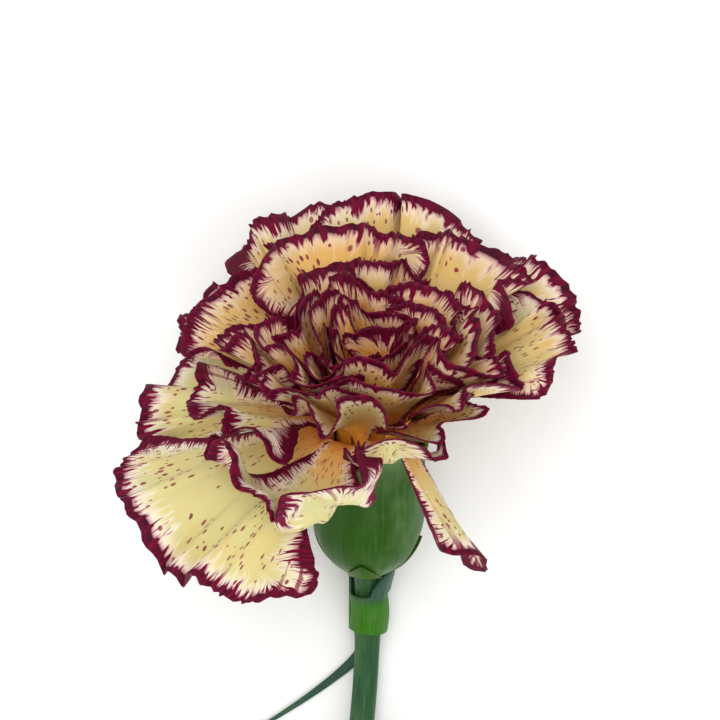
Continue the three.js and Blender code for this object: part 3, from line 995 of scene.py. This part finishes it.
# Joint, direction round the stem in degrees, length and width in mm, lean in degrees, the part of
# the blade that leans over, sideways drift in mm and its start, and how far the sheath reaches
# round the stem. The bract's sheath closes over the sheath behind it.
LEAVES = {
    "bract_front": (0, 44, 8, 5.2, 22, (-0.3, 0.6), (-0.6, 0.1), 1.7),
    "leaf_top_back": (0, 268, 44, 4, 178, (0, 0.17), (-28, 0.5), 1),
    "leaf_middle_right": (1, 12, 46, 5, 115, (0.1, 1), (5, 0.3), 1),
    "leaf_middle_left": (1, 165, 40, 5, 108, (0.1, 1), (-3, 0.3), 1),
    "leaf_lower_top": (2, 102, 54, 5.4, 64, (0.2, 1), (-16, 0.2), 1),
    "leaf_lower_back": (2, 282, 54, 5.4, 20, (0, 0.3), (-15, 0.1), 1),
}
SHEATH_FOOT = 2  # mm of sheath below the middle of its joint
SHEATH_LENGTH = 7
SHEATH_WRAP = 76  # degrees round the stem, to each side
SHEATH_GAP = 0.65  # mm from the stem's skin to the middle of the sheath
SHEATH_BELLY = 0.45  # mm by which the wide sheath in front swells
UNDER_SHEATH = 0.4  # mm by which the sheath behind it lies closer
OPENING = 0.3  # share of the blade over which it opens out of the sheath
CHANNEL = 24  # degrees that each half of the blade is bent, as a channel
KEEL = 0.12  # mm by which the midrib stands out
LEAF_THICKNESS = 0.45
LEAF_BEND_STEPS = 24
LEAF_RESTS_AT = 0.45  # mm above the surface


def leaf_surface(path, design, across, along):
    """The leaf's middle layer in mm: a sheath wrapped round its joint, then a bending blade."""
    joint, around, length, width, lean, arch, drifting, wrap = design
    total = SHEATH_LENGTH + length
    sheath_radius = path.radius(float(path.joints[joint])) + SHEATH_GAP
    t = np.maximum(0, along * total - SHEATH_LENGTH) / length
    opened = smooth(t * wrap / OPENING)
    sheath_half = sheath_radius * math.radians(SHEATH_WRAP) * wrap
    half_width = mix(sheath_half, width / 2, opened) * (1 - 0.96 * t**2.2)
    half_angle = np.radians(mix(SHEATH_WRAP, CHANNEL, opened)) * mix(wrap, 1, opened)
    bend_radius = half_width / half_angle

    below_joint = path.joints[joint] + SHEATH_FOOT
    centre, side, up, forward = path.frame(below_joint - np.minimum(along * total, SHEATH_LENGTH))
    place = math.radians(around)
    out = side * math.cos(place) + up * math.sin(place)
    flat = np.cross(forward, out)
    belly = SHEATH_BELLY * np.sin(np.clip(along * total / SHEATH_LENGTH, 0, 1) * math.pi) ** 0.8 + 0.1
    closer = UNDER_SHEATH if joint == 0 else 0
    shell = sheath_radius + (belly if wrap > 1 else 0 * along - closer)
    points = centre + out * shell[:, None]

    def leaning(t):
        return math.radians(lean) * smooth((t - arch[0]) / (arch[1] - arch[0]))

    for i in range(LEAF_BEND_STEPS):
        turn = leaning((i + 0.5) * t / LEAF_BEND_STEPS)
        points -= forward * (np.cos(turn) * length * t / LEAF_BEND_STEPS)[:, None]
        points += out * (np.sin(turn) * length * t / LEAF_BEND_STEPS)[:, None]
    turn = leaning(t)
    angle = across * half_angle
    cupped = bend_radius * (np.cos(angle) - 1) + KEEL * opened * (1 - t) * np.exp(-((across / 0.12) ** 2))
    drifted = drifting[0] * (np.maximum(0, t - drifting[1]) / (1 - drifting[1])) ** 1.3
    points += out * (cupped * np.cos(turn))[:, None] + forward * (cupped * np.sin(turn))[:, None]
    points += flat * (bend_radius * np.sin(angle) + drifted)[:, None]

    ease = 0.1 + 2 * opened
    share = (points[:, 2] - LEAF_RESTS_AT) / ease
    resting = LEAF_RESTS_AT + ease * (np.maximum(0, (share + 1) / 2)) ** 2
    points[:, 2] = np.where((t > 0) & (share < 1), resting, points[:, 2])
    return points, half_width


class CARNATION_OT_stem(Undoable, bpy.types.Operator):
    """Model the stem from the calyx to its slanted cut end"""

    bl_idname = "carnation.stem"
    bl_label = "Stem"

    def execute(self, context):
        path = StemPath(context.scene)
        sizes = path.sizes
        thick = sizes.radius / MM
        length = sizes.stem_length / MM
        cap = 0.012  # share of the rows that closes each end
        start = 0.3  # mm below the calyx
        joint_glow = 3.5  # mm of yellow-green to each side of a joint's middle

        def shape(turn, t):
            body = np.clip((t - cap) / (1 - 2 * cap), 0, 1)
            ring = np.minimum(np.minimum(t, 1 - t) / cap, 1)
            slant = sizes.cut_slant * np.cos(turn) * thick * smooth((body - 0.95) / 0.05) * ring
            distance = mix(start, length - sizes.cut_slant * thick, body) + slant
            centre, side, up, _ = path.frame(distance)
            radius = path.radius(distance) * np.maximum(ring, 0.0002)
            radius = radius * (1 - 0.012 * np.abs(np.sin(turn * 4 + 0.6)))
            across = radius * np.cos(turn)
            return centre + side * across[:, None] + up * (radius * np.sin(turn))[:, None]

        piece, turn, t = roll_tube("stem_rod", 48, 420, shape)
        distance = t * length
        joint = sum(np.exp(-(((distance - j) / joint_glow) ** 2)) for j in path.joints)
        cut = smooth((t - 0.99) / 0.005)
        neck = np.exp(-distance / 2.0)
        paint_green(piece, turn * thick, distance, 0.7 * joint + cut + 0.4 * neck, 0.3)
        close_seam(piece)
        bpy.ops.object.shade_smooth_by_angle(angle=SHARP)
        finish_piece(piece, green_material("Stem Skin"), "stem", "stem")
        return {"FINISHED"}


class CARNATION_OT_leaves(Undoable, bpy.types.Operator):
    """Model the sheathed leaves of each joint and the short bract in front"""

    bl_idname = "carnation.leaves"
    bl_label = "Leaves"

    def execute(self, context):
        path = StemPath(context.scene)
        for name, design in LEAVES.items():
            piece, u, along = new_grid(name + "_blade", 28, 150)
            points, half_width = leaf_surface(path, design, u, along)
            place_points(piece, points * MM)
            distance = along * (SHEATH_LENGTH + design[2])
            sheath = 1 - smooth((distance - SHEATH_LENGTH + 1.5) / 3)
            paint_green(piece, u * half_width, distance, 0.95 * sheath, 0.25)
            thicken(piece, LEAF_THICKNESS * MM)
            finish_piece(piece, green_material("Leaf Skin"), "leaf", name)
        return {"FINISHED"}


class CARNATION_OT_scales(Undoable, bpy.types.Operator):
    """Model the four small scales pressed to the calyx's base"""

    bl_idname = "carnation.scales"
    bl_label = "Calyx Scales"

    def execute(self, context):
        sizes, stem = context.scene.carnation_bloom, context.scene.carnation_stem
        foot, tall, half_wide = 0.6, 7, 3.25
        gap, tip_gap = 0.32, 0.1  # mm from the calyx, and how much further at the tip
        turned = 0.08  # share of a quarter turn by which all are turned
        for i in range(SCALES):
            piece, u, t = new_grid(f"scale_{i + 1}", 24, 30)
            height = (foot + tall * t) * MM
            radius = calyx_outside(sizes, stem, height) + (gap + tip_gap * t) * MM
            middle_radius = calyx_outside(sizes, stem, tall / 2 * MM)
            half = (half_wide * (1 - t**1.6) + 0.12) * MM / middle_radius
            turn = (i - turned) / SCALES * 2 * math.pi + u * half
            points = np.stack([radius * np.cos(turn), radius * np.sin(turn), height], axis=1)
            place_points(piece, moved(points, bloom_place(sizes.tilt)))
            paint_green(piece, u * half * 8, height / MM, 0.35 * (1 - t), 0.05)
            thicken(piece, 0.35 * MM)
            finish_piece(piece, green_material("Scale Skin"), "calyx", f"calyx_scale_{i + 1}")
        return {"FINISHED"}


class CARNATION_OT_pistil(Undoable, bpy.types.Operator):
    """Model the ovary and its two styles inside the calyx"""

    bl_idname = "carnation.pistil"
    bl_label = "Pistil"

    def execute(self, context):
        ovary_radius, ovary_foot, ovary_length = 2.3, 3.8, 11
        style_radius, style_length, style_middle, style_place = 0.4, 14, 19.3, 0.75

        def shape(turn, t):
            swelling = np.sin(math.pi * t) * (1.15 - 0.5 * t)
            radius = ovary_radius * np.sqrt(np.clip(swelling, 0, 1)) + 0.001
            height = ovary_foot + ovary_length * t
            return np.stack([radius * np.cos(turn), radius * np.sin(turn), height], axis=1)

        piece, _, _ = roll_tube("ovary", 32, 32, shape)
        close_seam(piece)
        parts = [piece]
        for side in (-1, 1):
            bpy.ops.object.select_all(action="DESELECT")
            bpy.ops.mesh.primitive_cylinder_add(
                vertices=16,
                radius=style_radius * MM,
                depth=style_length * MM,
                location=(side * style_place * MM, 0, style_middle * MM),
            )
            bpy.ops.object.transform_apply(location=True)
            parts.append(context.object)
        for part in parts:
            part.select_set(True)
        context.view_layer.objects.active = piece
        bpy.ops.object.join()
        tilt = context.scene.carnation_bloom.tilt
        place_points(piece, moved(vertex_array(piece.data), bloom_place(tilt)))
        points = vertex_array(piece.data) / MM
        paint_green(piece, points[:, 0], points[:, 1], np.full(len(points), 0.9), 0.2)
        bpy.ops.object.shade_smooth_by_angle(angle=SHARP)
        finish_piece(piece, green_material("Pistil Skin"), "pistil", "pistil")
        return {"FINISHED"}


# ---- The add-on ----

PIECES = (
    CARNATION_OT_calyx,
    CARNATION_OT_scales,
    CARNATION_OT_pistil,
    CARNATION_OT_stem,
    CARNATION_OT_leaves,
    CARNATION_OT_guard_petals,
    CARNATION_OT_outer_petals,
    CARNATION_OT_middle_petals,
    CARNATION_OT_heart_petals,
    CARNATION_OT_stage,
)


# Each group of sizes or colours and the name it has in the scene.
SETTINGS = {
    "carnation_bloom": BloomSizes,
    "carnation_stem": StemSizes,
    "carnation_petal_colours": PetalColours,
    "carnation_greens": GreenColours,
}


class CARNATION_PT_sidebar(bpy.types.Panel):
    """Lists the carnation's pieces and its sizes"""

    bl_label = "Carnation"
    bl_idname = "CARNATION_PT_sidebar"
    bl_space_type = "VIEW_3D"
    bl_region_type = "UI"
    bl_category = "Carnation"

    def draw(self, context):
        for kind in PIECES:
            self.layout.operator(kind.bl_idname)
        for name in SETTINGS:
            box = self.layout.box()
            settings = getattr(context.scene, name)
            for key in settings.__annotations__:
                box.prop(settings, key)


CLASSES = (*SETTINGS.values(), *PIECES, CARNATION_PT_sidebar)


def register():
    for kind in CLASSES:
        bpy.utils.register_class(kind)
    for name, kind in SETTINGS.items():
        setattr(bpy.types.Scene, name, PointerProperty(type=kind))


def unregister():
    for name in SETTINGS:
        delattr(bpy.types.Scene, name)
    for kind in reversed(CLASSES):
        bpy.utils.unregister_class(kind)


def main():
    """Makes the whole flower."""
    register()
    bpy.ops.carnation.calyx()
    bpy.ops.carnation.scales()
    bpy.ops.carnation.pistil()
    bpy.ops.carnation.stem()
    bpy.ops.carnation.leaves()
    bpy.ops.carnation.guard_petals()
    bpy.ops.carnation.outer_petals()
    bpy.ops.carnation.middle_petals()
    bpy.ops.carnation.heart_petals()
    bpy.ops.carnation.stage()


if __name__ == "__main__":
    main()
